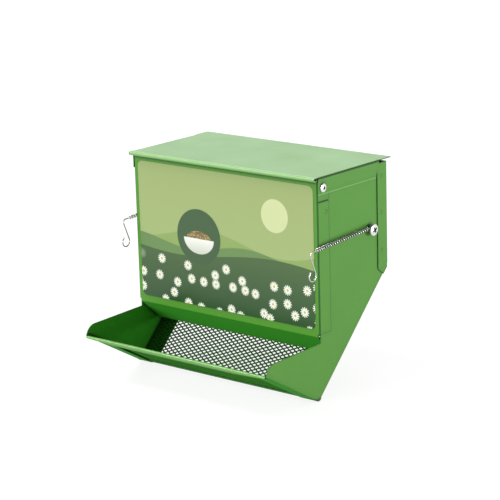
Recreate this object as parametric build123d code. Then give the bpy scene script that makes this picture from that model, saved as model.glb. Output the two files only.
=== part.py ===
"""Gravity feeder box for small animals: a folded sheet-metal hopper that hangs on a cage wall.

The hopper stands behind the wall and its open trough reaches through it. X runs across the
feeder, Y back from the cage wall and Z up, in millimetres. The origin is the middle of the
front face, which bears on the wall.
"""

import math
import os

from build123d import *

# Sheet metal
sheet = 0.8
bend_radius = 0.8
fit_gap = 0.2
cut_margin = 1.0

# Hopper and trough, seen from the side. The notch is where the trough's top edge meets the
# front face: heights are above it, drops are below it, and depths are from the front face.
body_width = 240.0
hopper_depth = 113.4
hopper_height = 162.6
rear_fold_height = 54.0
keel_overhang = 2.4
keel_drop = 59.7
trough_reach = 83.1
lip_drop = 12.8
trough_top_drop = 2.0
trough_corner_radius = 13.5
trough_corner_back = 3.6
keel_corner_radius = 5.0

# Front panel
front_fold_height = 5.9
front_top_step = 1.2
front_flange_depth = 17.6
flange_slit_height = 141.2
flange_slit_width = 0.9
baffle_length = 34.5
baffle_angle = 42.6

# Back panel and rear slope
back_flange_depth = 16.6
back_flange_foot = 8.8
fold_leg = 3.0
slope_sheet_end = 72.0
back_hem_radius = 1.5
back_hem_inset = 8.0
back_hem_play = 0.3

# Ledges that carry the mesh
ledge_width = 20.0
ledge_end_gap = 5.0
ledge_front_taper = 12.0
keel_front_leg = 12.0
keel_rear_leg = 13.0
keel_bend_radius = 2.0
lip_strip_width = 10.0
lip_roll_radius = 2.2
lip_roll_back = 1.5
lip_trim_length = 45.0
lip_trim_rise = 2.4

# Expanded mesh: diamonds with their long way across the feeder
mesh_thickness = 0.8
mesh_long_way = 30.0
mesh_short_way = 18.0
mesh_strand = 1.7
mesh_border = 3.0
mesh_keel_gap = 4.0
mesh_lip_gap = 6.0
mesh_lap = 12.0

# Label
label_width = 229.0
label_height = 143.5
label_margin = 7.8
label_thickness = 0.2
label_corner_radius = 6.0

# Lid
lid_side_gap = 0.3
lid_lift = 3.0
lid_flange_depth = 17.7
lid_flange_length = 99.0
lid_flange_rake = 6.4
lid_back_overhang = 4.9
lid_roll_radius = 2.0
lid_roll_reach = 6.0
hinge_depth = 7.5
hinge_drop = 7.4

# Rivets that the lid turns on
rivet_radius = 2.0
rivet_head_radius = 4.5
rivet_head_height = 1.4
rivet_tail_radius = 3.2
rivet_tail_height = 1.2
rivet_play = 0.1
head_crown = 0.6
head_gap = 0.2

# Screws that anchor the springs, placed from the back face
anchor_back = 28.9
anchor_height = 98.0
screw_radius = 2.0
screw_head_radius = 6.1
screw_head_height = 1.8
screw_tail = 5.0
shoulder_radius = 4.0
shoulder_length = 2.7
nut_across_flats = 7.0
nut_height = 3.2

# Spring with its eye, and the wire hook that it pulls
wire_radius = 0.8
wire_flats = 6
wire_bend_step = 12.0
wire_gap = 0.3
eye_radius = 2.9
eye_sweep = 262.0
coil_start = 8.0
coil_overhang = 8.5
coil_radius = 2.2
coil_groove = 0.6
coil_pitch = 3.5
coil_flats = 8
spring_tilt = 2.9
hook_gap = 0.3
hook_overhang = 17.9
hook_bend = 3.0
loop_radius = 5.2
loop_setback = 3.0
loop_drop = 23.9
loop_sweep = 262.0

# Places worked out from the sizes above
face_y = label_thickness
notch_z = -(front_fold_height + label_margin + label_height / 2)
half_width = body_width / 2
side_outer = half_width - sheet
side_inner = side_outer - sheet
inner_width = 2 * (side_inner - bend_radius)
back_y = face_y + hopper_depth
top_z = notch_z + hopper_height
lip = (face_y - trough_reach, notch_z - lip_drop)
keel = (face_y - keel_overhang, notch_z - keel_drop)
rear_fold = (back_y, notch_z + rear_fold_height)
lid_under = top_z + lid_lift
hinge_y = face_y + hinge_depth
hinge_z = top_z - hinge_drop
anchor_y = back_y - anchor_back
anchor_z = notch_z + anchor_height
eye_plane = side_outer + shoulder_length + wire_gap + wire_radius
screw_seat = eye_plane + wire_radius + wire_gap
coil_end = anchor_y - face_y + coil_overhang
coil_turns = round((coil_end - coil_start) / coil_pitch)
hook_reach = anchor_y - face_y + hook_overhang
loop_forward = hook_reach - loop_setback


def unit(start, end):
    """The direction from one point to another, in a plane."""
    length = math.dist(start, end)
    return ((end[0] - start[0]) / length, (end[1] - start[1]) / length)


def step(start, end, distance):
    """The point that lies distance from start on the way to end."""
    ux, uy = unit(start, end)
    return (start[0] + ux * distance, start[1] + uy * distance)


def shifted(path, amount):
    """The path moved to its left by amount, with mitred corners."""
    headings = [unit(a, b) for a, b in zip(path, path[1:])]
    before = [headings[0]] + headings
    after = headings + [headings[-1]]
    moved = []
    for (x, y), (ux, uy), (vx, vy) in zip(path, before, after):
        share = amount / (1 + ux * vx + uy * vy)
        moved.append((x - (uy + vy) * share, y + (ux + vx) * share))
    return moved


def carried_back(path):
    """The path with its last leg carried on to the back face."""
    ux, uy = unit(path[1], path[2])
    return [path[0], path[1], (back_y, path[1][1] + (back_y - path[1][0]) * uy / ux)]


# The floor's lines run from the trough's lip to the rear fold: the ledges lie on the first,
# the solid strips on the next and the mesh on the last.
floor_path = [lip, keel, rear_fold]
shelf_path = carried_back(shifted(floor_path, sheet))
mesh_path = shifted(floor_path, 2 * sheet)


def folded_face(path, inner_radius=bend_radius):
    """A sheet's cross-section: folded along path, with its thickness to the left."""
    near_radii, far_radii = [], []
    for a, b, c in zip(path, path[1:], path[2:]):
        (ux, uy), (vx, vy) = unit(a, b), unit(b, c)
        turns_left = ux * vy - uy * vx > 0
        near_radii.append(inner_radius + sheet if turns_left else inner_radius)
        far_radii.append(inner_radius if turns_left else inner_radius + sheet)
    near = FilletPolyline(*path, radius=near_radii)
    far = FilletPolyline(*shifted(path, sheet), radius=far_radii)
    ends = [Line(near @ 0, far @ 0), Line(near @ 1, far @ 1)]
    return make_face(near.edges() + far.edges() + ends)


def across(face, x_low, x_high):
    """A face drawn in Y and Z, run across the feeder between two places."""
    solid = extrude(Plane.YZ * face, amount=x_high - x_low, dir=(1, 0, 0))
    return Pos(x_low, 0, 0) * solid


def slab(points, x_low, x_high):
    """A piece whose outline has its corners given in Y and Z."""
    return across(Polygon(*points, align=None), x_low, x_high)


def disc(radius, x_low, x_high, y, z):
    """A round piece on an axis that runs across the feeder."""
    return across(Pos(y, z) * Circle(radius), x_low, x_high)


def rolled_edge(radius, half_length, y, z):
    """A sheet edge rolled into a small tube, so that it cuts nobody."""
    tube = Pos(y, z) * (Circle(radius) - Circle(radius - sheet))
    return across(tube, -half_length, half_length)


def turned_head(radius, height, x, y, z):
    """A low round head with a sloping side, standing outwards from x."""
    section = Polygon((0, 0), (radius, 0), (radius * head_crown, height), (0, height), align=None)
    return Pos(x, y, z) * Rot(0, 90, 0) * revolve(Plane.XZ * section, Axis.Z, 360)


def slope_plane(start, end, x):
    """Square to a slope that runs backwards: its x points inwards, its y up into the trough."""
    uy, uz = unit(start, end)
    return Plane(origin=(x, start[0], start[1]), x_dir=(-1, 0, 0), z_dir=(0, uy, uz))


def floor_plane(start, end):
    """Flat on a slope that runs backwards, centred across the feeder: its y climbs to end."""
    uy, uz = unit(start, end)
    return Plane(origin=(0, start[0], start[1]), x_dir=(1, 0, 0), z_dir=(0, -uz, uy))


def corner_near(face, point):
    """The corner of a face that lies nearest to a point."""
    return min(face.vertices(), key=lambda corner: math.dist((corner.X, corner.Y), point))


def wall_outline():
    """The side wall's outline in Y and Z, clear of the bends of the front and back faces."""
    front, back = face_y + sheet + bend_radius, back_y - sheet - bend_radius
    climb = unit(keel, rear_fold)
    back_foot = keel[1] + (back - keel[0]) * climb[1] / climb[0]
    nose = (lip[0] + trough_corner_back, notch_z - trough_top_drop)
    points = [(front, top_z), (back, top_z), (back, back_foot), keel, lip, nose, (front, notch_z)]
    outline = Polygon(*points, align=None)
    outline = fillet(corner_near(outline, nose), trough_corner_radius)
    return fillet(corner_near(outline, keel), keel_corner_radius)


def ledge(start, end, taper=0.0):
    """The strip folded in from the right wall along a slope, and the room that it takes."""
    low, high = step(start, end, ledge_end_gap), step(end, start, ledge_end_gap)
    length = math.dist(low, high)
    plane = slope_plane(low, high, side_outer)
    strip = extrude(plane * folded_face([(0, fold_leg), (0, 0), (ledge_width, 0)]), amount=length)
    if taper:
        corner = [(0, 0), (ledge_width, 0), (ledge_width, taper)]
        flat = Plane(origin=plane.origin, x_dir=plane.x_dir, z_dir=-plane.y_dir)
        corner_room = flat * Pos(bend_radius + sheet, 0) * Polygon(*corner, align=None)
        strip -= extrude(corner_room, amount=2 * sheet, both=True)
    room = extrude(plane * Rectangle(3 * sheet, 2 * fold_leg), amount=length)
    return strip, room


def side_panel():
    """The right side: a flat wall with its bottom edges folded in as ledges for the mesh."""
    wall = across(wall_outline(), side_inner, side_outer)
    rear_strip, rear_room = ledge(keel, rear_fold)
    front_strip, front_room = ledge(lip, keel, ledge_front_taper)
    panel = wall - rear_room - front_room + rear_strip + front_strip
    low, high = side_inner - cut_margin, side_outer + cut_margin
    panel -= disc(rivet_radius, low, high, hinge_y, hinge_z)
    return panel - disc(screw_radius, low, high, anchor_y, anchor_z)


def front_panel():
    """The face against the cage wall, folded round both sides and down into a baffle."""
    flange_end = face_y + front_flange_depth
    plan = [
        (-half_width, flange_end),
        (-half_width, face_y),
        (half_width, face_y),
        (half_width, flange_end),
    ]
    fold_z = notch_z + front_fold_height
    bottom, top = fold_z + fold_leg, top_z - front_top_step
    shell = Pos(0, 0, bottom) * extrude(folded_face(plan), amount=top - bottom)
    fall = math.radians(baffle_angle)
    tip = (face_y + baffle_length * math.cos(fall), fold_z - baffle_length * math.sin(fall))
    baffle = folded_face([(face_y, bottom), (face_y, fold_z), tip])
    panel = shell + across(baffle, -inner_width / 2, inner_width / 2)
    slit_z = notch_z + flange_slit_height
    slit_start, slit_end = face_y + bend_radius, flange_end + cut_margin
    slit = [
        (slit_start, slit_z),
        (slit_end, slit_z),
        (slit_end, slit_z + flange_slit_width),
        (slit_start, slit_z + flange_slit_width),
    ]
    for side in (-1, 1):
        low, high = sorted((side * (side_outer - sheet / 2), side * (half_width + cut_margin)))
        panel -= slab(slit, low, high)
        panel -= disc(rivet_radius, low, high, hinge_y, hinge_z)
    return panel


def back_panel():
    """The back face, folded round both sides, rolled at its top and folded down the slope."""
    flange_end = back_y - back_flange_depth
    plan = [
        (half_width, flange_end),
        (half_width, back_y),
        (-half_width, back_y),
        (-half_width, flange_end),
    ]
    lower, upper = shelf_path[1], shelf_path[2]
    leg_top = upper[1] + fold_leg
    shell = Pos(0, 0, leg_top) * extrude(folded_face(plan), amount=top_z - leg_top)
    slope = folded_face([step(lower, upper, slope_sheet_end), upper, (back_y, leg_top)])
    panel = shell + across(slope, -inner_width / 2, inner_width / 2)
    foot = unit(lower, upper)
    foot_y = flange_end + back_flange_foot
    foot_end = back_y - bend_radius - sheet
    skirt = [
        (flange_end, leg_top),
        (flange_end, notch_z + rear_fold_height),
        (foot_y, upper[1] + (foot_y - upper[0]) * foot[1] / foot[0]),
        (foot_end, upper[1] + (foot_end - upper[0]) * foot[1] / foot[0]),
        (foot_end, leg_top),
    ]
    for side in (-1, 1):
        panel += slab(skirt, *sorted((side * side_outer, side * half_width)))
    hem_half = half_width - back_hem_inset
    hem_y = back_y - back_hem_radius
    hem_z = lid_under - back_hem_play - back_hem_radius
    hem_foot = [(back_y - sheet, top_z), (back_y, top_z), (back_y, hem_z), (back_y - sheet, hem_z)]
    panel += slab(hem_foot, -hem_half, hem_half)
    return panel + rolled_edge(back_hem_radius, hem_half, hem_y, hem_z)


def keel_strip():
    """The solid strip folded along the bottom, which carries the lower edges of both meshes."""
    front_end = step(shelf_path[1], shelf_path[0], keel_front_leg)
    rear_end = step(shelf_path[1], shelf_path[2], keel_rear_leg)
    section = folded_face([front_end, shelf_path[1], rear_end], keel_bend_radius)
    return across(section, -inner_width / 2, inner_width / 2)


def trough_lip():
    """The strip along the trough's front edge, rolled outwards and trimmed thinner at its ends."""
    start = step(shelf_path[0], shelf_path[1], lip_roll_back)
    end = step(start, shelf_path[1], lip_strip_width)
    over = shifted([start, end], sheet)
    roll = shifted([start, end], sheet - lip_roll_radius)[0]
    strip = slab([start, end, over[1], over[0]], -inner_width / 2, inner_width / 2)
    tube = rolled_edge(lip_roll_radius, inner_width / 2, *roll)
    tip_x, tip_z = inner_width / 2 + cut_margin, roll[1] - lip_roll_radius + lip_trim_rise
    root_x, root_z = tip_x - lip_trim_length, roll[1] - lip_roll_radius
    trim = Polygon((root_x, root_z), (tip_x, root_z), (tip_x, tip_z), align=None)
    waste = Pos(0, roll[0], 0) * extrude(Plane.XZ * trim, amount=lip_roll_radius, both=True)
    return strip + (tube - waste - mirror(waste, about=Plane.YZ))


def expanded_mesh(start, end, from_start, length):
    """Expanded metal, flattened: staggered diamonds that are cut off at a plain border."""
    width = inner_width - 2 * fit_gap
    span_x, span_y = width - 2 * mesh_border, length - 2 * mesh_border
    across_count = round(span_x / mesh_long_way)
    along_count = round(span_y / mesh_short_way)
    pitch_x, pitch_y = span_x / across_count, span_y / along_count
    shrink = 1 - mesh_strand * math.hypot(pitch_x, pitch_y) / (pitch_x * pitch_y)
    tip_x, tip_y = pitch_x * shrink / 2, pitch_y * shrink / 2
    diamond = Polygon((tip_x, 0), (0, tip_y), (-tip_x, 0), (0, -tip_y), align=None)
    places = GridLocations(pitch_x, pitch_y, across_count, along_count).locations
    places += GridLocations(pitch_x, pitch_y, across_count + 1, along_count + 1).locations
    openings = Rectangle(span_x, span_y) & (Sketch() + [place * diamond for place in places])
    plane = floor_plane(start, end)
    sheet_face = Pos(0, from_start + length / 2) * (Rectangle(width, length) - openings)
    return extrude(plane * sheet_face, amount=mesh_thickness, dir=plane.z_dir)


def rear_mesh():
    """The mesh floor, which laps onto the solid slope below the hopper."""
    length = slope_sheet_end + mesh_lap - mesh_keel_gap
    return expanded_mesh(mesh_path[1], mesh_path[2], mesh_keel_gap, length)


def front_mesh():
    """The mesh that closes the trough's front slope."""
    reach = math.dist(mesh_path[0], mesh_path[1])
    length = reach - mesh_keel_gap - mesh_lip_gap
    return expanded_mesh(mesh_path[0], mesh_path[1], mesh_lip_gap, length)


def label():
    """The printed card that covers the front face."""
    face = RectangleRounded(label_width, label_height, label_corner_radius)
    return extrude(Plane.XZ * face, amount=-label_thickness)


def lid():
    """The lid: its front edge rolled, its sides folded down, and its back edge left long."""
    half = half_width + lid_side_gap + sheet
    top = lid_under + sheet
    start, end = face_y + fit_gap, face_y + lid_flange_length
    foot = top - lid_flange_depth
    section = [(half, foot), (half, top), (-half, top), (-half, foot)]
    cover = extrude(Plane.XZ.offset(-end) * folded_face(section), amount=end - start)
    flange_top = lid_under - bend_radius
    rake = [
        (end + cut_margin, flange_top),
        (end, flange_top),
        (end - lid_flange_rake, foot - cut_margin),
        (end + cut_margin, foot - cut_margin),
    ]
    cover -= slab(rake, -half - cut_margin, half + cut_margin)
    roll_y = face_y - lid_roll_reach + lid_roll_radius
    back = back_y + lid_back_overhang
    front_plate = [(roll_y, lid_under), (start, lid_under), (start, top), (roll_y, top)]
    back_plate = [(end, lid_under), (back, lid_under), (back, top), (end, top)]
    cover += slab(front_plate, -half, half)
    cover += slab(back_plate, -half, half)
    cover += rolled_edge(lid_roll_radius, half, roll_y, top - lid_roll_radius)
    bore = rivet_radius + rivet_play
    return cover - disc(bore, -half - cut_margin, half + cut_margin, hinge_y, hinge_z)


def lid_rivet():
    """The rivet that the lid turns on: a domed head outside and a spread tail inside."""
    seat = half_width + lid_side_gap + sheet + head_gap
    rivet = turned_head(rivet_head_radius, rivet_head_height, seat, hinge_y, hinge_z)
    rivet += disc(rivet_radius, side_inner - rivet_tail_height, seat, hinge_y, hinge_z)
    return rivet + disc(rivet_tail_radius, side_inner - rivet_tail_height, side_inner, hinge_y, hinge_z)


def anchor_screw():
    """The shoulder screw that the spring's eye hangs on."""
    head = turned_head(screw_head_radius, screw_head_height, screw_seat, anchor_y, anchor_z)
    shoulder = disc(shoulder_radius, side_outer, side_outer + shoulder_length, anchor_y, anchor_z)
    shank = disc(screw_radius, side_inner - screw_tail, screw_seat, anchor_y, anchor_z)
    return head + shoulder + shank


def anchor_nut():
    """The nut inside the wall."""
    hexagon = RegularPolygon(nut_across_flats / 2, 6, major_radius=False) - Circle(screw_radius)
    return across(Pos(anchor_y, anchor_z) * hexagon, side_inner - nut_height, side_inner)


def on_anchor(solid):
    """A spring piece drawn about its screw, with the spring running forwards, put in place."""
    return Pos(eye_plane, anchor_y, anchor_z) * Rot(spring_tilt, 0, 0) * solid


def bent_wire(*curves):
    """Wire along a route drawn in Y and Z, with flats and short straight runs for its rounds."""
    edges = Wire([Plane.YZ * edge for curve in curves for edge in curve.edges()]).order_edges()
    places = [edges[0] @ 0]
    for edge in edges:
        turn = 0 if edge.geom_type == GeomType.LINE else math.degrees(edge.length / edge.radius)
        runs = max(1, round(turn / wire_bend_step))
        places += [edge @ (run / runs) for run in range(1, runs + 1)]
    route = Polyline(*places)
    plane = Plane(route @ 0, x_dir=(1, 0, 0), z_dir=route % 0)
    section = plane * RegularPolygon(wire_radius, wire_flats, rotation=180 / wire_flats)
    return sweep(section, path=route, transition=Transition.RIGHT)


def spring_eye():
    """The wire that leaves the coil and closes round the screw."""
    tail = Line((-coil_start, eye_radius), (0, eye_radius))
    ring = JernArc((0, eye_radius), (1, 0), eye_radius, -eye_sweep)
    return on_anchor(bent_wire(tail, ring))


def spring_coil():
    """The coils of the spring, as a barrel with one ridge for each turn."""
    pitch = (coil_end - coil_start) / coil_turns
    root = coil_radius - coil_groove
    edge = [(root, 0)]
    for turn in range(coil_turns):
        edge += [(coil_radius, (turn + 0.5) * pitch), (root, (turn + 1) * pitch)]
    other_edge = [(-radius, place) for radius, place in reversed(edge)]
    blank = extrude(Plane.XZ * Polygon(*edge, *other_edge, align=None), amount=coil_radius, both=True)
    barrel = blank
    for flat in range(1, coil_flats // 2):
        barrel = barrel & Rot(0, 0, flat * 360 / coil_flats) * blank
    return on_anchor(Pos(0, -coil_start, eye_radius) * Rot(90, 0, 0) * barrel)


def cage_hook():
    """The wire hook that the spring pulls: a leg that ends in an open loop for a cage wire."""
    bend = (-hook_reach, eye_radius)
    centre = (-loop_forward, eye_radius - loop_drop)
    gap = math.dist(bend, centre)
    toward = math.atan2(centre[1] - bend[1], centre[0] - bend[0]) + math.asin(loop_radius / gap)
    heading = (math.cos(toward), math.sin(toward))
    leg_length = math.sqrt(gap**2 - loop_radius**2)
    leg_end = (bend[0] + heading[0] * leg_length, bend[1] + heading[1] * leg_length)
    start = (-coil_end - hook_gap, eye_radius)
    leg = FilletPolyline(start, bend, leg_end, radius=hook_bend)
    loop = JernArc(leg_end, heading, loop_radius, -loop_sweep)
    return on_anchor(bent_wire(leg, loop))


parts = {
    "front_panel": front_panel(),
    "back_panel": back_panel(),
    "keel_strip": keel_strip(),
    "trough_lip": trough_lip(),
    "front_mesh": front_mesh(),
    "rear_mesh": rear_mesh(),
    "label": label(),
    "lid": lid(),
}
pairs = {
    "side_panel": side_panel(),
    "lid_rivet": lid_rivet(),
    "anchor_screw": anchor_screw(),
    "anchor_nut": anchor_nut(),
    "spring_eye": spring_eye(),
    "spring_coil": spring_coil(),
    "cage_hook": cage_hook(),
}
for name, piece in pairs.items():
    parts["right_" + name] = piece
    parts["left_" + name] = mirror(piece, about=Plane.YZ)

os.makedirs("parts", exist_ok=True)
for name, piece in parts.items():
    export_step(piece, f"parts/{name}.step")
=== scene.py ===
"""The looks of a gravity feeder box: folded sheet steel under green powder coat, expanded mesh,
zinc-plated springs and screws, and a printed card on the front.

Lengths are in metres. X runs across the feeder, Y back from the cage wall and Z up.
"""

import math

import bmesh
import bpy
from mathutils import Euler, Matrix, Vector


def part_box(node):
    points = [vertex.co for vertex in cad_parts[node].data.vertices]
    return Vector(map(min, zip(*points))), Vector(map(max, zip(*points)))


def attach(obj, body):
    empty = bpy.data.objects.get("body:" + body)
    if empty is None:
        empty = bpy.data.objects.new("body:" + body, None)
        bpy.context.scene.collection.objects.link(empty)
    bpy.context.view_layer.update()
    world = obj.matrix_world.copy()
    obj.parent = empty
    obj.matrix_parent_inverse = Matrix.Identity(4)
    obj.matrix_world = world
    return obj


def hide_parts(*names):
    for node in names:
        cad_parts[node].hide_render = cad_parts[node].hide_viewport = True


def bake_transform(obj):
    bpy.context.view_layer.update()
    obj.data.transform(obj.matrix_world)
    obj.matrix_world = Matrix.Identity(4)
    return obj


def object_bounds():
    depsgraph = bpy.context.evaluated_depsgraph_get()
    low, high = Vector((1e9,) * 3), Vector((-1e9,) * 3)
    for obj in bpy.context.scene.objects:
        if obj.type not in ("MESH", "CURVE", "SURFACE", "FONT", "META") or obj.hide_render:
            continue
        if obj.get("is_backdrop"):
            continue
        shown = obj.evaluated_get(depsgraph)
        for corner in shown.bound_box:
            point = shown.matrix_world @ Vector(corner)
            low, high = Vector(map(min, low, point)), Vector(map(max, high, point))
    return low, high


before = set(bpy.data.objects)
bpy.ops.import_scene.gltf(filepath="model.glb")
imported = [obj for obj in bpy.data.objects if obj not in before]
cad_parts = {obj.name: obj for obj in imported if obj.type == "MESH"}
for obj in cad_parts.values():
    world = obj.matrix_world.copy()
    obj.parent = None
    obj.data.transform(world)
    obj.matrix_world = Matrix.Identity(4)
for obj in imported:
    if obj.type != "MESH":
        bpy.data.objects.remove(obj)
cad_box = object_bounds()

MM = 0.001
sides = ("left", "right")

# Boxes of the panels, the lid and the card. The notch is where the trough meets the front face.
front_low, front_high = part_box("front_panel")
back_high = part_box("back_panel")[1]
lid_low, lid_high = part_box("lid")
label_low, label_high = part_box("label")
label_above_notch = 13.7 * MM
notch_z = label_low.z - label_above_notch

# Expanded mesh: diamonds with their long way across the feeder
mesh_long_way = 8.1 * MM
mesh_short_way = 4.4 * MM
mesh_strand = 1.45 * MM
mesh_sheet = 0.6 * MM
mesh_twist = 0.35 * MM
mesh_join = 0.01 * MM

# Spring wire, along the line from the screw to the hook
wire_radius = 0.7 * MM
wire_sides = 14
wire_join = 0.001 * MM
wire_crease = 50
eye_radius = 2.9 * MM
eye_sweep = math.radians(262)
coil_start = 8 * MM
coil_end = 93 * MM
coil_radius = 2.2 * MM
coil_turns = 24
coil_steps = 18
spring_tilt = math.radians(2.9)
hook_start = 93.3 * MM
hook_reach = 102.4 * MM
hook_bend = 3 * MM
hook_bend_steps = 12
loop_radius = 5.2 * MM
loop_forward = 99.4 * MM
loop_drop = 23.9 * MM
loop_sweep = math.radians(262)
loop_steps = 40

# Shoulder screw with a cross recess, and blind rivet with its pulled mandrel
turned_sides = 48
turned_crease = 35
turned_join = 0.001 * MM
dome_steps = 8
rim_share = 1 / 4
shank_radius = 2 * MM
shoulder_radius = 4 * MM
shoulder_length = 2.7 * MM
screw_head_radius = 6.1 * MM
screw_head_height = 1.8 * MM
thread_pitch = 0.7 * MM
thread_depth = 0.3 * MM
thread_length = 4.9 * MM
recess_width = 1.9 * MM
recess_length = 6.6 * MM
recess_depth = 1.1 * MM
recess_turn = math.radians(28)
rivet_head_radius = 4.5 * MM
rivet_head_height = 1.4 * MM
rivet_tail_radius = 3.2 * MM
rivet_tail_height = 1.2 * MM
mandrel_radius = 1.5 * MM
mandrel_depth = 1.1 * MM
tolerance = 0.01 * MM

# Masks and shading
mask_softness = 0.3 * MM
shade_samples = 8
edge_samples = 6

# Powder coat: patches of tone, orange peel and gloss. A noise is its size and its detail.
patch_noise = (50 * MM, 3.0)
patch_range = (0.35, 0.7)
patch_share = 0.55
peel_noise = (2.2 * MM, 1.0)
peel_strength = 0.25
peel_depth = 0.05 * MM
coat_gloss_range = (-0.05, 0.07)
dull_roughness = 0.9

# Painted shade in seams, on cut edges, along folds and behind the slit; spot welds in the coat,
# and the inside of the housing
seam_reach = 5 * MM
seam_tilt = 0.7
seam_range = (0.55, 0.95)
seam_share = 0.95
seam_shade_green = "#0d3a06"
edge_reach = 2 * MM
edge_range = (0.8, 0.985)
edge_shade_green = "#1c5a10"
fold_reach = 1.4 * MM
fold_shade_green = "#245e10"
inside_green = "#35a019"
inside_half_width = 118.9 * MM
inside_top = -79.5 * MM
slit_drop = 20.15 * MM
slit_reach = 0.6 * MM
slit_start = 1.8 * MM
slit_end = 17.6 * MM
weld_radius = 2 * MM
weld_depth = 0.8 * MM
weld_places_mm = ((12.8, 45.0), (103.1, 63.7), (102.3, 27.0), (102.7, -12.7))

# The lid's tones: its sides under the top sheet, whose lighter tone is painted light, painted
# highlights on its front roll and on the sides' foot, and painted shade along the sides' top edge
lid_sheet = 0.7 * MM
lid_side_green = "#4e9226"
lid_roll_back = -1.5 * MM
lid_roll_highlight_green = "#8fc376"
lid_foot = 0.9 * MM
lid_foot_highlight_green = "#7cbb5c"
lid_edge_reach = 1.7 * MM
lid_edge_out = 1 * MM
lid_edge_drop = 0.8 * MM
lid_edge_shade_green = "#0c3a04"

# Zinc plating, with painted shade in its crevices and recesses
zinc_range = (0.45, 0.9)
zinc_noise = (2 * MM, 2.0)
zinc_gloss_range = (-0.08, 0.1)
crevice_reach = 1.5 * MM
coil_crevice_reach = 3 * MM

# Print on the card, in millimetres. A fade runs between two heights and two tones, a spot is
# its x, z and radius, and a hill is its height, rise, wave length and shift.
sky_fade = (-10, 70, "#9fb372", "#9aad6c")
sun_spot = (66, 36, 17)
sun_tone = "#cdd8a0"
far_hill = (1, 8, 190, 70)
far_hill_tone = "#89a559"
near_hill = (-8, 5, 150, 10)
near_hill_tone = "#64874a"
field_hill = (-15, 6, 260, 0)
field_fade = (-70, -12, "#16450f", "#3e5f2e")
oval_spot = (-34, 1, 29)
oval_tone = "#31542a"
bowl_spot = (-34, -1, 20)
bowl_flatness = 0.8
bowl_fade = (-17, -1, "#c9cfc0", "#f1f3ea")
heap_spot = (-34, -1, 16)
heap_flatness = 0.5

# Pellets, daisies and the gloss film on the card
pellet_size = 3.4 * MM
pellet_gap = 0.12
pellet_softness = 0.05
pellet_scatter = 0.8
pellet_tone = "#b09a62"
pellet_gap_tone = "#6d5c34"
daisy_radius = 5.5 * MM
daisy_petals = 12
daisy_line = -27 * MM
daisy_spacing = 19 * MM
daisy_scatter = 0.75
petal_tone = "#eef1e4"
daisy_eye_tone = "#c9bd5c"
film_weight = 0.15
film_roughness = 0.12

# Surroundings and lamps. A lamp's share is what it gives of the light that makes a colour show
# as it is written, on a face square to it.
room_light = 0.6
ceiling_tone = 0.2
ceiling_range = (0.38, 0.55)
paper_tone = 0.25
paper_glow = 0.85
floor_half_width = 12
floor_gap = 0.5 * MM
lamps = (
    # name, direction towards it, width in degrees, share
    ("front_lamp", (-0.25, -1, 0.16), 25, 0.68),
    ("side_lamp", (0.92, 0.38, 0.02), 7, 0.78),
    ("top_lamp", (-0.6, -0.3, 0.74), 20, 0.36),
    ("sheen_lamp", (-0.645, 0.764, 0.27), 50, 0.1),
)

# Camera
view_turn = math.radians(40.17)
view_fall = math.radians(14.47)
view_roll = math.radians(-1.65)
view_right = 23.4 * MM
view_up = 75.2 * MM
view_distance = 2057.4 * MM
view_limit = 50
sensor_width = 36
lens_per_frame = 2027.2 / 500


def linear(hex_colour):
    """A colour written as sRGB hex, as the linear values that shaders take."""
    channels = []
    for place in (1, 3, 5):
        value = int(hex_colour[place : place + 2], 16) / 255
        low = value <= 0.04045
        channels.append(value / 12.92 if low else ((value + 0.055) / 1.055) ** 2.4)
    return (*channels, 1.0)


def add_node(tree, kind, inputs=None, **settings):
    """Adds a node with its settings; each input is given a value or a socket to link."""
    node = tree.nodes.new(kind)
    for name, value in settings.items():
        setattr(node, name, value)
    for name, value in (inputs or {}).items():
        if isinstance(value, bpy.types.NodeSocket):
            tree.links.new(value, node.inputs[name])
        else:
            node.inputs[name].default_value = value
    return node


def new_material(name, hex_colour, roughness, metallic=0.0):
    """A material with its shader and its object coordinates, before any pattern."""
    material = bpy.data.materials.new(name)
    material.use_nodes = True
    material.diffuse_color = linear(hex_colour)
    tree = material.node_tree
    shader = tree.nodes["Principled BSDF"]
    shader.inputs["Base Color"].default_value = linear(hex_colour)
    shader.inputs["Roughness"].default_value = roughness
    shader.inputs["Metallic"].default_value = metallic
    place = add_node(tree, "ShaderNodeTexCoord").outputs["Object"]
    return material, tree, shader, place


def mixed(tree, factor, first, second):
    """One colour turning into another."""
    node = add_node(tree, "ShaderNodeMix", {0: factor, 6: first, 7: second}, data_type="RGBA")
    return node.outputs[2]


def math_node(tree, operation, first, second=0.0):
    """One sum on two numbers or sockets."""
    return add_node(tree, "ShaderNodeMath", {0: first, 1: second}, operation=operation).outputs[0]


def vector_node(tree, operation, *inputs):
    """One sum on vectors, with a number as its result if it is a length or a product."""
    node = add_node(tree, "ShaderNodeVectorMath", dict(enumerate(inputs)), operation=operation)
    return node.outputs["Value" if operation in ("LENGTH", "DOT_PRODUCT") else "Vector"]


def parts_of(tree, vector):
    """A vector's X, Y and Z."""
    return add_node(tree, "ShaderNodeSeparateXYZ", {"Vector": vector}).outputs


def ramp(tree, value, span, start=0.0, end=1.0):
    """From start to end as the value crosses the span."""
    low, high = span
    ends = {"From Min": low, "From Max": high, "To Min": start, "To Max": end}
    return add_node(tree, "ShaderNodeMapRange", {"Value": value, **ends}).outputs["Result"]


def noise(tree, place, size, detail):
    """Soft noise between 0 and 1, with spots about as large as size."""
    inputs = {"Vector": place, "Scale": 1 / size, "Detail": detail}
    return add_node(tree, "ShaderNodeTexNoise", inputs).outputs["Fac"]


def uneven_gloss(tree, value, roughness, spread):
    """Roughness that varies with a noise about its mean."""
    low, high = spread
    return ramp(tree, value, (0.0, 1.0), roughness + low, roughness + high)


def edge_mask(tree, distance, limit, softness=mask_softness):
    """1 where distance is under limit, 0 past it."""
    return ramp(tree, distance, (limit - softness, limit + softness), 1.0, 0.0)


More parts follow.
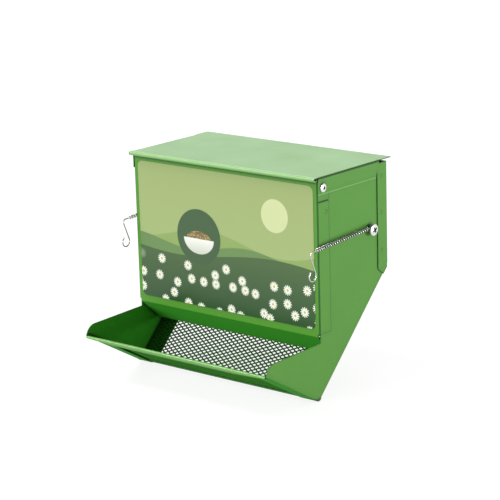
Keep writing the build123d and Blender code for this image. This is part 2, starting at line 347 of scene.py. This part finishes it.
def off_middle(tree, parts, axis):
    """A coordinate, the same on both sides of X."""
    return math_node(tree, "ABSOLUTE", parts[axis]) if axis == "X" else parts[axis]


def beside_line(reach, **place):
    """A mask round a straight line, from two of its coordinates; the same on both sides of X."""

    def mask(tree, parts):
        total = 0.0
        for axis, value in place.items():
            gap = math_node(tree, "SUBTRACT", off_middle(tree, parts, axis), value)
            total = math_node(tree, "ADD", total, math_node(tree, "MULTIPLY", gap, gap))
        return edge_mask(tree, math_node(tree, "SQRT", total), reach)

    return mask


def below_line(**place):
    """A mask for what lies under each of the given coordinates; the same on both sides of X."""

    def mask(tree, parts):
        share = 1.0
        for axis, value in place.items():
            under = edge_mask(tree, off_middle(tree, parts, axis), value)
            share = math_node(tree, "MULTIPLY", share, under)
        return share

    return mask


def above_fold(mask):
    """The same mask, kept to what stands above the fold of the front."""

    def kept(tree, parts):
        lower = edge_mask(tree, parts["Z"], inside_top)
        higher = math_node(tree, "SUBTRACT", 1.0, lower)
        return math_node(tree, "MULTIPLY", mask(tree, parts), higher)

    return kept


def shade_behind_slit(tree, parts):
    """1 on the side panel where it shows through the slit in the front's flange, for a painted
    shadow.
    """
    high = beside_line(slit_reach, Z=front_high.z - slit_drop)(tree, parts)
    front = edge_mask(tree, parts["Y"], slit_start)
    near = math_node(tree, "SUBTRACT", edge_mask(tree, parts["Y"], slit_end), front)
    return math_node(tree, "MULTIPLY", high, near)


def seam_shade(tree, colour, shade):
    """Painted shade where another face comes close: on the front under the lid's roll, and on the
    sides behind whatever stands off them."""
    facing = add_node(tree, "ShaderNodeNewGeometry").outputs["Normal"]
    parts = parts_of(tree, facing)
    forward = math_node(tree, "ABSOLUTE", parts["Y"])
    sideways = math_node(tree, "ABSOLUTE", parts["X"])
    lean = math_node(tree, "MULTIPLY", math_node(tree, "SUBTRACT", forward, sideways), seam_tilt)
    tilt = add_node(tree, "ShaderNodeCombineXYZ", {"Z": lean}).outputs["Vector"]
    toward = vector_node(tree, "NORMALIZE", vector_node(tree, "ADD", facing, tilt))
    inputs = {"Distance": seam_reach, "Normal": toward}
    near = add_node(tree, "ShaderNodeAmbientOcclusion", inputs, samples=shade_samples)
    share = ramp(tree, near.outputs["AO"], seam_range, seam_share, 0.0)
    return mixed(tree, share, colour, shade)


def painted_edge_shade(tree):
    """1 on the corners of the sheet, where a darker green is painted as shade, 0 on its faces."""
    facing = add_node(tree, "ShaderNodeNewGeometry").outputs["Normal"]
    rounded = add_node(tree, "ShaderNodeBevel", {"Radius": edge_reach}, samples=edge_samples)
    match = vector_node(tree, "DOT_PRODUCT", facing, rounded.outputs["Normal"])
    return ramp(tree, match, edge_range, 1.0, 0.0)


def powder_coat(name, tones, roughness, gleam, marks=(), dull=None, welds=(), edges=False):
    """Polyester powder coat on steel: an even satin skin with a faint orange peel, a little
    patchy between two tones. Each mark is a mask and the tone that it gives, dull is a mask for
    the unpolished inside, and each weld is a mask for a dimple."""
    main_tone, second_tone = tones
    material, tree, shader, place = new_material(name, main_tone, roughness)
    shader.inputs["Specular IOR Level"].default_value = gleam
    parts = parts_of(tree, place)
    patch = noise(tree, place, *patch_noise)
    share = ramp(tree, patch, patch_range, 0.0, patch_share)
    colour = mixed(tree, share, linear(main_tone), linear(second_tone))
    for mask, tone in marks:
        colour = mixed(tree, mask(tree, parts), colour, linear(tone))
    colour = seam_shade(tree, colour, linear(seam_shade_green))
    # Painted shade along the sheet's corners and edges
    if edges:
        colour = mixed(tree, painted_edge_shade(tree), colour, linear(edge_shade_green))
    tree.links.new(colour, shader.inputs["Base Color"])

    gloss = uneven_gloss(tree, patch, roughness, coat_gloss_range)
    if dull:
        rough = math_node(tree, "MULTIPLY", dull(tree, parts), dull_roughness)
        gloss = math_node(tree, "MAXIMUM", gloss, rough)
    tree.links.new(gloss, shader.inputs["Roughness"])

    peel = noise(tree, place, *peel_noise)
    inputs = {"Height": peel, "Strength": peel_strength, "Distance": peel_depth}
    normal = add_node(tree, "ShaderNodeBump", inputs).outputs["Normal"]
    for weld in welds:
        inputs = {"Height": weld(tree, parts), "Distance": weld_depth, "Normal": normal}
        normal = add_node(tree, "ShaderNodeBump", inputs, invert=True).outputs["Normal"]
    tree.links.new(normal, shader.inputs["Normal"])
    return material


def zinc_plate(name, tone, roughness, crevice_shade_tone, reach):
    """Bright zinc plating: a silvery skin with a slightly uneven gloss, with painted shade in its
    crevices.
    """
    material, tree, shader, place = new_material(name, tone, roughness, metallic=1.0)
    inputs = {"Distance": reach}
    near = add_node(tree, "ShaderNodeAmbientOcclusion", inputs, samples=shade_samples)
    share = ramp(tree, near.outputs["AO"], zinc_range, 1.0, 0.0)
    colour = mixed(tree, share, linear(tone), linear(crevice_shade_tone))
    tree.links.new(colour, shader.inputs["Base Color"])
    cloud = noise(tree, place, *zinc_noise)
    gloss = uneven_gloss(tree, cloud, roughness, zinc_gloss_range)
    tree.links.new(gloss, shader.inputs["Roughness"])
    return material


def faded(tree, parts, fade):
    """One tone turning into another between two heights."""
    low, high, low_tone, high_tone = fade
    share = ramp(tree, parts["Z"], (low * MM, high * MM))
    return mixed(tree, share, linear(low_tone), linear(high_tone))


def under_hill(tree, parts, skyline):
    """1 under a wavy skyline, 0 above it."""
    height, rise, wave, shift = (value * MM for value in skyline)
    along = math_node(tree, "ADD", parts["X"], shift)
    turns = math_node(tree, "MULTIPLY", along, 2 * math.pi / wave)
    ridge = math_node(tree, "MULTIPLY", math_node(tree, "SINE", turns), rise)
    return edge_mask(tree, math_node(tree, "SUBTRACT", parts["Z"], ridge), height)


def in_spot(tree, place, spot, flatness=1.0):
    """1 on a round or flattened spot, 0 outside it."""
    x, z, radius = (value * MM for value in spot)
    moves = {"Location": (-x, 0, -z / flatness), "Scale": (1, 0, 1 / flatness)}
    moved = add_node(tree, "ShaderNodeMapping", {"Vector": place, **moves}).outputs["Vector"]
    return edge_mask(tree, vector_node(tree, "LENGTH", moved), radius)


def pellets(tree, place):
    """Pressed hay pellets with darker gaps between them."""
    grain = add_node(
        tree,
        "ShaderNodeTexVoronoi",
        {"Vector": place, "Scale": 1 / pellet_size, "Randomness": pellet_scatter},
        feature="DISTANCE_TO_EDGE",
    )
    gap = edge_mask(tree, grain.outputs["Distance"], pellet_gap, pellet_softness)
    return mixed(tree, gap, linear(pellet_tone), linear(pellet_gap_tone))


def daisies(tree, parts, colour):
    """White daisies strewn over the field, on top of the colour."""
    flat = add_node(tree, "ShaderNodeCombineXYZ", {"X": parts["X"], "Y": parts["Z"]})
    flat = flat.outputs["Vector"]
    cell = add_node(
        tree,
        "ShaderNodeTexVoronoi",
        {"Vector": flat, "Scale": 1 / daisy_spacing, "Randomness": daisy_scatter},
        voronoi_dimensions="2D",
    ).outputs["Position"]
    away = vector_node(tree, "SUBTRACT", flat, cell)
    reach = vector_node(tree, "LENGTH", away)
    side = parts_of(tree, away)
    angle = math_node(tree, "ARCTAN2", side["Y"], side["X"])
    turn = math_node(tree, "MULTIPLY", angle, daisy_petals / 2)
    notch = math_node(tree, "ABSOLUTE", math_node(tree, "COSINE", turn))
    petal_reach = ramp(tree, notch, (0.0, 1.0), daisy_radius / 2, daisy_radius)
    petals = edge_mask(tree, math_node(tree, "SUBTRACT", reach, petal_reach), 0.0)
    in_field = edge_mask(tree, parts_of(tree, cell)["Y"], daisy_line)
    eye = edge_mask(tree, reach, daisy_radius / 4)
    for mask, tone in ((petals, petal_tone), (eye, daisy_eye_tone)):
        kept = math_node(tree, "MULTIPLY", mask, in_field)
        colour = mixed(tree, kept, colour, linear(tone))
    return colour


def printed_card():
    """Coated card, offset printed: matt ink under a thin gloss film. The print is a meadow with
    rolling fields, daisies and a bowl of pellets."""
    material, tree, shader, place = new_material("printed_card", "#afc182", 0.32)
    parts = parts_of(tree, place)
    colour = faded(tree, parts, sky_fade)
    colour = mixed(tree, in_spot(tree, place, sun_spot), colour, linear(sun_tone))
    colour = mixed(tree, under_hill(tree, parts, far_hill), colour, linear(far_hill_tone))
    colour = mixed(tree, under_hill(tree, parts, near_hill), colour, linear(near_hill_tone))
    field = faded(tree, parts, field_fade)
    colour = mixed(tree, under_hill(tree, parts, field_hill), colour, field)
    colour = mixed(tree, in_spot(tree, place, oval_spot), colour, linear(oval_tone))
    heap = in_spot(tree, place, heap_spot, heap_flatness)
    colour = mixed(tree, heap, colour, pellets(tree, place))
    under_rim = edge_mask(tree, parts["Z"], bowl_spot[1] * MM)
    round_bowl = in_spot(tree, place, bowl_spot, bowl_flatness)
    bowl = math_node(tree, "MULTIPLY", round_bowl, under_rim)
    colour = mixed(tree, bowl, colour, faded(tree, parts, bowl_fade))
    tree.links.new(daisies(tree, parts, colour), shader.inputs["Base Color"])
    shader.inputs["Coat Weight"].default_value = film_weight
    shader.inputs["Coat Roughness"].default_value = film_roughness
    return material


def studio_paper():
    """Matt paper under the feeder: white to the eye, a mirror or glass, with a soft shadow."""
    material = bpy.data.materials.new("studio_paper")
    material.use_nodes = True
    tree = material.node_tree
    tree.nodes.clear()
    rays = add_node(tree, "ShaderNodeLightPath").outputs
    seen = math_node(tree, "MAXIMUM", rays["Is Camera Ray"], rays["Is Glossy Ray"])
    seen = math_node(tree, "MAXIMUM", seen, rays["Is Transmission Ray"])
    strength = math_node(tree, "MULTIPLY", seen, paper_glow)
    tone = (paper_tone, paper_tone, paper_tone, 1)
    paper = add_node(tree, "ShaderNodeBsdfDiffuse", {"Color": tone}).outputs["BSDF"]
    light = {"Color": (1, 1, 1, 1), "Strength": strength}
    glow = add_node(tree, "ShaderNodeEmission", light).outputs["Emission"]
    both = add_node(tree, "ShaderNodeAddShader", {0: paper, 1: glow}).outputs["Shader"]
    add_node(tree, "ShaderNodeOutputMaterial", {"Surface": both})
    return material


def put_in_order(bm):
    """Sorts edges and faces by their vertices, since operators leave them in a varying order."""
    bm.verts.index_update()
    count = len(bm.verts)

    def rank(item):
        number = 0
        for index in sorted(vert.index for vert in item.verts)[:3]:
            number = number * count + index
        return number

    bm.edges.sort(key=rank)
    bm.faces.sort(key=rank)


def new_piece(name, bm, *materials):
    """A mesh object with its materials."""
    mesh = bpy.data.meshes.new(name)
    put_in_order(bm)
    bm.to_mesh(mesh)
    bm.free()
    piece = bpy.data.objects.new(name, mesh)
    bpy.context.scene.collection.objects.link(piece)
    for material in materials:
        mesh.materials.append(material)
    return piece


def fixed_piece(name, bm, slot, node, *materials):
    """A piece of the housing that stands for a CAD node."""
    piece = new_piece(name, bm, *materials)
    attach(piece, "housing")
    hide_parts(node)
    return piece


def smooth(piece, degrees):
    """Rounds the shading of all edges that turn less than the given angle."""
    piece.data.shade_smooth()
    piece.data.set_sharp_from_angle(angle=math.radians(degrees))


def paint(nodes, material):
    """Gives CAD nodes their material."""
    for name in nodes:
        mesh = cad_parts[name].data
        mesh.materials.clear()
        mesh.materials.append(material)


def only(kind, geometry):
    """The items of one kind in what an operator made."""
    return [item for item in geometry if isinstance(item, kind)]


def open_edges(bm):
    """The edges round every hole and open end."""
    return [edge for edge in bm.edges if edge.is_boundary]


def extreme(node, axis, sign):
    """The corner of a CAD node that lies furthest along an axis."""
    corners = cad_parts[node].data.vertices
    return max((corner.co for corner in corners), key=lambda place: sign * place[axis]).copy()


def lying_on(near, near_top, far):
    """A place on a sloping sheet: x across, y from its near end to its far end, z its normal."""
    along = (far - near) * Vector((0, 1, 1))
    length = along.length
    along.normalize()
    across = Vector((1, 0, 0))
    matrix = Matrix((across, along, across.cross(along))).transposed().to_4x4()
    matrix.translation = (near + near_top) / 2 * Vector((0, 1, 1))
    return matrix, length


def repeat(bm, step, count):
    """Copies everything count more times, each a step further."""
    bmesh.ops.spin(
        bm,
        geom=bm.verts[:] + bm.edges[:] + bm.faces[:],
        angle=0,
        dvec=step,
        steps=count,
        use_duplicate=True,
    )


def diamond():
    """A diamond of four flat strands, which share their outer edges with the next ones."""
    bm = bmesh.new()
    bmesh.ops.create_circle(bm, cap_ends=True, segments=4, radius=1)
    size = Vector((mesh_long_way / 2, mesh_short_way / 2, 1))
    bmesh.ops.scale(bm, vec=size, verts=bm.verts)
    hole = bm.faces[:]
    bmesh.ops.inset_region(
        bm, faces=hole, thickness=mesh_strand / 2, use_even_offset=True, use_boundary=True
    )
    bmesh.ops.delete(bm, geom=hole, context="FACES_ONLY")
    top = bmesh.ops.extrude_face_region(bm, geom=bm.faces[:], use_keep_orig=True)["geom"]
    raised = only(bmesh.types.BMVert, top)
    bmesh.ops.translate(bm, vec=(0, 0, mesh_sheet), verts=raised)
    bmesh.ops.translate(bm, vec=(0, 0, -mesh_sheet / 2), verts=bm.verts)
    return bm


def twist_strands(bm):
    """Tips the strands of a diamond round its hole and opens its outer walls."""
    outline = mesh_long_way * mesh_short_way / 4
    rim = set()
    for vert in bm.verts:
        reach = abs(vert.co.x) * mesh_short_way / 2 + abs(vert.co.y) * mesh_long_way / 2
        if reach > 0.999 * outline:
            rim.add(vert)
        else:
            vert.co.z += mesh_twist * (vert.co.y / (mesh_short_way / 2))
    walls = [face for face in bm.faces if all(vert in rim for vert in face.verts)]
    bmesh.ops.delete(bm, geom=walls, context="FACES_ONLY")


def trim_sheet(bm, width, length):
    """Cuts a sheet to its size and closes the cut strands."""
    for x, y, out in (
        (width / 2, 0, (1, 0, 0)),
        (-width / 2, 0, (-1, 0, 0)),
        (0, 0, (0, -1, 0)),
        (0, length, (0, 1, 0)),
    ):
        bmesh.ops.bisect_plane(
            bm,
            geom=bm.verts[:] + bm.edges[:] + bm.faces[:],
            plane_co=(x, y, 0),
            plane_no=out,
            clear_outer=True,
        )
    put_in_order(bm)
    bmesh.ops.holes_fill(bm, edges=open_edges(bm), sides=0)


def expanded_mesh(end, place, length, width, material):
    """Expanded steel: one diamond with its four strands twisted, copied in staggered rows."""
    bm = diamond()
    twist_strands(bm)
    columns = math.ceil(width / mesh_long_way / 2) + 1
    rows = math.ceil(length / mesh_short_way) + 1
    bmesh.ops.translate(bm, vec=(-columns * mesh_long_way, 0, 0), verts=bm.verts)
    repeat(bm, (mesh_long_way, 0, 0), 2 * columns)
    repeat(bm, (mesh_long_way / 2, mesh_short_way / 2, 0), 1)
    repeat(bm, (0, mesh_short_way, 0), rows)
    bmesh.ops.remove_doubles(bm, verts=bm.verts, dist=mesh_join)
    trim_sheet(bm, width, length)
    bmesh.ops.transform(bm, matrix=place, verts=bm.verts)
    bmesh.ops.recalc_face_normals(bm, faces=bm.faces)
    fixed_piece(end + "_expanded_mesh", bm, "mesh_paint", end + "_mesh", material)


def wire_ring(bm, place):
    """The round section at the start of a wire."""
    made = bmesh.ops.create_circle(bm, segments=wire_sides, radius=wire_radius, matrix=place)
    return list(dict.fromkeys(edge for vert in made["verts"] for edge in vert.link_edges))


def ring_along_y(bm, y, z):
    """The start of a wire that runs along Y."""
    return wire_ring(bm, Matrix.Translation((0, y, z)) @ Matrix.Rotation(math.pi / 2, 4, "X"))


def straight(bm, ring, y, z):
    """Carries the wire on by a straight stretch."""
    made = bmesh.ops.extrude_edge_only(bm, edges=ring)["geom"]
    bmesh.ops.translate(bm, vec=(0, y, z), verts=only(bmesh.types.BMVert, made))
    return only(bmesh.types.BMEdge, made)


def bend(bm, ring, y, z, angle, steps):
    """Carries the wire on round a bend whose centre is at y, z."""
    made = bmesh.ops.spin(bm, geom=ring, cent=(0, y, z), axis=(1, 0, 0), angle=angle, steps=steps)
    return only(bmesh.types.BMEdge, made["geom_last"])


def finish_wire(name, bm, place, material, node):
    """Closes the wire's ends and puts it at its screw."""
    bmesh.ops.holes_fill(bm, edges=open_edges(bm), sides=0)
    bmesh.ops.remove_doubles(bm, verts=bm.verts, dist=wire_join)
    bmesh.ops.recalc_face_normals(bm, faces=bm.faces)
    bmesh.ops.transform(bm, matrix=place, verts=bm.verts)
    piece = new_piece(name, bm, material)
    smooth(piece, wire_crease)
    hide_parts(node)
    return piece


def spring_eye(side, place, material):
    """The wire that leaves the coil and closes round the screw."""
    bm = bmesh.new()
    ring = ring_along_y(bm, -coil_start, eye_radius)
    ring = straight(bm, ring, coil_start, 0)
    bend(bm, ring, 0, 0, -eye_sweep, loop_steps)
    eye = finish_wire(side + "_eye", bm, place, material, side + "_spring_eye")
    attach(eye, side + "_spring")


def spring_coil(side, place, material):
    """The wound coils, open enough to show each turn."""
    bm = bmesh.new()
    start = (0, -coil_start - wire_radius, eye_radius + coil_radius - wire_radius)
    ring = wire_ring(bm, Matrix.Translation(start) @ Matrix.Rotation(math.pi / 2, 4, "Y"))
    travel = coil_end - coil_start - 2 * wire_radius
    steps = coil_turns * coil_steps
    bmesh.ops.spin(
        bm,
        geom=ring,
        cent=(0, 0, eye_radius),
        axis=(0, -1, 0),
        dvec=(0, -travel / steps, 0),
        angle=2 * math.pi * coil_turns,
        steps=steps,
    )
    coil = finish_wire(side + "_coil", bm, place, material, side + "_spring_coil")
    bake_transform(coil)


def cage_hook(side, place, material):
    """The wire beyond the coil: bent down, then round into an open loop."""
    bend_y, bend_z = -hook_reach, eye_radius
    loop_y, loop_z = -loop_forward, eye_radius - loop_drop
    gap = math.dist((bend_y, bend_z), (loop_y, loop_z))
    toward = math.atan2(loop_z - bend_z, loop_y - bend_y) + math.asin(loop_radius / gap)
    turn = toward + math.pi
    cut = hook_bend * math.tan(turn / 2)
    leg = math.sqrt(gap**2 - loop_radius**2) - cut
    bm = bmesh.new()
    ring = ring_along_y(bm, -hook_start, eye_radius)
    ring = straight(bm, ring, -(hook_reach - cut - hook_start), 0)
    ring = bend(bm, ring, cut - hook_reach, eye_radius - hook_bend, turn, hook_bend_steps)
    ring = straight(bm, ring, leg * math.cos(toward), leg * math.sin(toward))
    bend(bm, ring, loop_y, loop_z, -loop_sweep, loop_steps)
    hook = finish_wire(side + "_hook", bm, place, material, side + "_cage_hook")
    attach(hook, side + "_hook")


def dome(radius, low, high):
    """A low dome's section, from its rim to its top."""
    angles = [math.pi / 2 * step / dome_steps for step in range(dome_steps + 1)]
    return [(radius * math.cos(angle), low + (high - low) * math.sin(angle)) for angle in angles]


def turned(profile):
    """A round solid about Z, from its section: radius and height from its inner end outwards."""
    bm = bmesh.new()
    verts = [bm.verts.new((radius, 0, height)) for radius, height in profile]
    edges = [bm.edges.new(pair) for pair in zip(verts, verts[1:])]
    bmesh.ops.spin(
        bm,
        geom=verts + edges,
        cent=(0, 0, 0),
        axis=(0, 0, 1),
        angle=2 * math.pi,
        steps=turned_sides,
        use_merge=True,
    )
    bmesh.ops.remove_doubles(bm, verts=bm.verts, dist=turned_join)
    bmesh.ops.recalc_face_normals(bm, faces=bm.faces)
    put_in_order(bm)
    return bm


def score_head(bm, floor_height):
    """Cuts the edges of the recess's arms into the faces of a head that points up."""
    for axis in (Vector((1, 0, 0)), Vector((0, 1, 0))):
        for reach in (-recess_length, -recess_width, recess_width, recess_length):
            top = [face for face in bm.faces if face.calc_center_median().z > floor_height]
            edges = dict.fromkeys(edge for face in top for edge in face.edges)
            verts = dict.fromkeys(vert for face in top for vert in face.verts)
            geometry = [*verts, *edges, *top]
            middle = axis * reach / 2
            bmesh.ops.bisect_plane(bm, geom=geometry, plane_co=middle, plane_no=axis)
            put_in_order(bm)


def sink_recess(bm, floor_height):
    """Sinks a cross into a head that points up, with the second material, a darker zinc as painted
    shade, in it.
    """
    score_head(bm, floor_height)
    arms = []
    for face in bm.faces:
        middle = face.calc_center_median()
        short, long = sorted((abs(middle.x), abs(middle.y)))
        if middle.z > floor_height and short < recess_width / 2 and long < recess_length / 2:
            arms.append(face)
    sunk = bmesh.ops.extrude_face_region(bm, geom=arms)["geom"]
    for vert in only(bmesh.types.BMVert, sunk):
        vert.co.z = floor_height
    kept = [face for face in arms if face.is_valid]
    bmesh.ops.delete(bm, geom=kept, context="FACES")
    for face in bm.faces:
        middle = face.calc_center_median()
        reach = max(abs(middle.x), abs(middle.y))
        if middle.z > floor_height - tolerance and reach < recess_length / 2 + tolerance:
            low = min(vert.co.z for vert in face.verts)
            face.material_index = int(low < floor_height + tolerance)
    bmesh.ops.recalc_face_normals(bm, faces=bm.faces)
    bmesh.ops.rotate(bm, matrix=Matrix.Rotation(recess_turn, 3, "Z"), verts=bm.verts)


def middle_of(node):
    """The middle of a CAD node's box."""
    low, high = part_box(node)
    return (low + high) / 2


def fit_turned(name, bm, side, seat, node, metals):
    """Lays a turned piece on its side, facing outwards, with its zero height at the seat."""
    middle = middle_of(node)
    sign = 1 if side == "right" else -1
    place = Matrix.Translation((sign * seat, middle.y, middle.z))
    place = place @ Matrix.Rotation(sign * math.pi / 2, 4, "Y")
    bmesh.ops.transform(bm, matrix=place, verts=bm.verts)
    piece = fixed_piece(name, bm, "zinc_hardware", node, *metals)
    smooth(piece, turned_crease)


def thread(end):
    """The section of a screw's thread, from the screw's end outwards."""
    root = shank_radius - thread_depth
    profile = [(0, end), (root, end)]
    for turn in range(round(thread_length / thread_pitch)):
        foot = end + turn * thread_pitch
        profile += [(shank_radius, foot + thread_pitch / 2), (root, foot + thread_pitch)]
    return profile


def anchor_screw(side, metals):
    """The shoulder screw, with its thread inside the wall and a cross recess in its head."""
    low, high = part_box("right_anchor_screw")
    seat = high.x - screw_head_height
    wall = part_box("right_side_panel")[1].x - seat
    shoulder = wall + shoulder_length
    profile = thread(low.x - seat)
    profile += [(shank_radius, wall), (shoulder_radius, wall)]
    profile += [(shoulder_radius, shoulder), (shank_radius, shoulder)]
    profile += [(shank_radius, 0), (screw_head_radius, 0)]
    profile += dome(screw_head_radius, screw_head_height * rim_share, screw_head_height)
    bm = turned(profile)
    sink_recess(bm, screw_head_height - recess_depth)
    fit_turned(side + "_screw", bm, side, seat, side + "_anchor_screw", metals)


def lid_rivet(side, metals):
    """The blind rivet that the lid turns on, with the hole that its mandrel leaves."""
    low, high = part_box("right_lid_rivet")
    seat = high.x - rivet_head_height
    end = low.x - seat
    wall = end + rivet_tail_height
    hole_floor = rivet_head_height - mandrel_depth
    tail = dome(rivet_tail_radius, 0, rivet_tail_height)
    profile = [(0, end), *reversed([(radius, wall - height) for radius, height in tail])]
    profile += [(shank_radius, wall), (shank_radius, 0), (rivet_head_radius, 0)]
    head = dome(rivet_head_radius, rivet_head_height * rim_share, rivet_head_height)
    profile += [point for point in head if point[0] > mandrel_radius]
    profile += [(mandrel_radius, rivet_head_height), (mandrel_radius, hole_floor), (0, hole_floor)]
    bm = turned(profile)
    # The mandrel's hole takes the second material, a darker zinc as painted shade
    for face in bm.faces:
        middle = face.calc_center_median()
        hole = middle.xy.length < mandrel_radius and middle.z > hole_floor - tolerance
        face.material_index = int(hole)
    fit_turned(side + "_rivet", bm, side, seat, side + "_lid_rivet", metals)


def spring(side, material):
    """The spring's three pieces, about the middle of its screw."""
    anchor = middle_of(side + "_anchor_screw")
    anchor.x = middle_of(side + "_spring_eye").x
    place = Matrix.Translation(anchor) @ Matrix.Rotation(spring_tilt, 4, "X")
    spring_eye(side, place, material)
    spring_coil(side, place, material)
    cage_hook(side, place, material)


def set_floor():
    """A wide pale floor just under the feeder."""
    bm = bmesh.new()
    bmesh.ops.create_grid(bm, x_segments=1, y_segments=1, size=floor_half_width)
    bmesh.ops.translate(bm, vec=(0, 0, cad_box[0].z - floor_gap), verts=bm.verts)
    new_piece("floor", bm, studio_paper())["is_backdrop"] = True


def set_room():
    """White surroundings that light less than they show; what is mirrored has a darker ceiling."""
    world = bpy.data.worlds.new("studio")
    bpy.context.scene.world = world
    world.use_nodes = True
    tree = world.node_tree
    tree.nodes.clear()
    toward = add_node(tree, "ShaderNodeTexCoord").outputs["Generated"]
    ceiling = ramp(tree, parts_of(tree, toward)["Z"], ceiling_range, 1.0, ceiling_tone)
    rays = add_node(tree, "ShaderNodeLightPath").outputs
    direct = math_node(tree, "MAXIMUM", rays["Is Camera Ray"], rays["Is Transmission Ray"])
    mirrored = math_node(tree, "MULTIPLY", rays["Is Glossy Ray"], ceiling)
    seen = math_node(tree, "MAXIMUM", direct, mirrored)
    lit = math_node(tree, "MULTIPLY", rays["Is Diffuse Ray"], room_light)
    light = {"Color": (1, 1, 1, 1), "Strength": math_node(tree, "MAXIMUM", seen, lit)}
    room = add_node(tree, "ShaderNodeBackground", light).outputs["Background"]
    add_node(tree, "ShaderNodeOutputWorld", {"Surface": room})


def set_lamp(name, toward, width, share):
    """A far soft light from one direction, which alone lights a face square to it by its share."""
    light = bpy.data.lights.new(name, "SUN")
    light.angle = math.radians(width)
    light.energy = math.pi * share
    item = bpy.data.objects.new(name, light)
    item.rotation_euler = (-Vector(toward)).to_track_quat("-Z", "Y").to_euler()
    bpy.context.scene.collection.objects.link(item)


def set_camera():
    """Above the right front corner, with a long lens."""
    turn = Euler((math.pi / 2 - view_fall, 0, view_turn)).to_matrix()
    turn = turn @ Matrix.Rotation(view_roll, 3, "Z")
    data = bpy.data.cameras.new("camera")
    data.sensor_width = sensor_width
    data.lens = sensor_width * lens_per_frame
    data.clip_end = view_limit
    camera = bpy.data.objects.new("camera", data)
    camera.rotation_euler = turn.to_euler()
    notch = Vector((0, label_high.y, notch_z))
    camera.location = notch + turn @ Vector((view_right, view_up, view_distance))
    bpy.context.scene.collection.objects.link(camera)
    bpy.context.scene.camera = camera


inside = below_line(X=inside_half_width, Z=inside_top)
# Painted shade lines along the corner folds of the front and the back
front_fold_shade = above_fold(beside_line(fold_reach, X=front_high.x, Y=front_low.y))
back_fold_shade = beside_line(fold_reach, X=back_high.x, Y=back_high.y)
housing_coat = powder_coat(
    "powder_coat_satin_green",
    ("#4f9325", "#488d22"),
    0.4,
    0.4,
    marks=[
        (inside, inside_green),
        (front_fold_shade, fold_shade_green),
        (shade_behind_slit, seam_shade_green),
        (back_fold_shade, fold_shade_green),
    ],
    dull=inside,
    welds=[beside_line(weld_radius, Y=y * MM, Z=z * MM) for y, z in weld_places_mm],
    edges=True,
)
# The lid's top sheet is painted lighter than its sides as light on it; its marks paint highlights
# on the front roll and the sides' foot, and a shade line along the sides' top edge.
lid_edge = {"X": lid_high.x + lid_edge_out, "Z": lid_high.z - lid_edge_drop}
lid_coat = powder_coat(
    "powder_coat_lid_green",
    ("#59a42a", "#549f27"),
    0.3,
    0.46,
    marks=[
        (below_line(Z=lid_high.z - lid_sheet), lid_side_green),
        (below_line(Y=lid_roll_back), lid_roll_highlight_green),
        (below_line(Z=lid_low.z + lid_foot), lid_foot_highlight_green),
        (beside_line(lid_edge_reach, **lid_edge), lid_edge_shade_green),
    ],
)
# The lip's tones are paler than the housing's, a painted highlight on the rolled lip
lip_coat = powder_coat("powder_coat_rolled_lip", ("#64a83e", "#5ba036"), 0.25, 0.8)
# The mesh tones are darker than the housing's, painted shade on the strands, the rear mesh most
mesh_coats = {
    "rear": powder_coat("powder_coat_rear_mesh", ("#206214", "#1b5810"), 0.65, 0.05),
    "front": powder_coat("powder_coat_front_mesh", ("#338616", "#2e7c13"), 0.65, 0.05),
}
# Each plating's last tone is painted shade in its crevices
zinc = zinc_plate("bright_zinc_plate", "#dcdedb", 0.22, "#4c504a", crevice_reach)
# A darker copy of the zinc, painted shade in the screw recesses and the mandrel holes
shaded_recess_zinc = zinc_plate("zinc_plate_painted_shade", "#34372f", 0.5, "#15180f", crevice_reach)
spring_steel = zinc_plate("plated_spring_steel", "#bec2ba", 0.24, "#22291c", coil_crevice_reach)

paint(["front_panel", "back_panel", "keel_strip"], housing_coat)
paint([side + "_side_panel" for side in sides], housing_coat)
paint(["trough_lip"], lip_coat)
paint(["lid"], lid_coat)
paint(["label"], printed_card())
paint([side + "_anchor_nut" for side in sides], zinc)

mesh_low, mesh_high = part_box("rear_mesh")
slopes = {
    # the near edge's underside, its top side and the far edge, as node, axis and end
    "rear": (("rear_mesh", 2, -1), ("rear_mesh", 1, -1), ("rear_mesh", 1, 1)),
    "front": (("front_mesh", 1, -1), ("front_mesh", 2, 1), ("front_mesh", 2, -1)),
}
for end, corners in slopes.items():
    place, length = lying_on(*(extreme(*corner) for corner in corners))
    expanded_mesh(end, place, length, mesh_high.x - mesh_low.x, mesh_coats[end])
for side in sides:
    lid_rivet(side, (zinc, shaded_recess_zinc))
    anchor_screw(side, (zinc, shaded_recess_zinc))
    spring(side, spring_steel)

set_camera()
set_floor()
set_room()
for lamp in lamps:
    set_lamp(*lamp)
bpy.context.scene.view_settings.view_transform = "Standard"

corners = [list(corner) for box in (cad_box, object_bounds()) for corner in box]
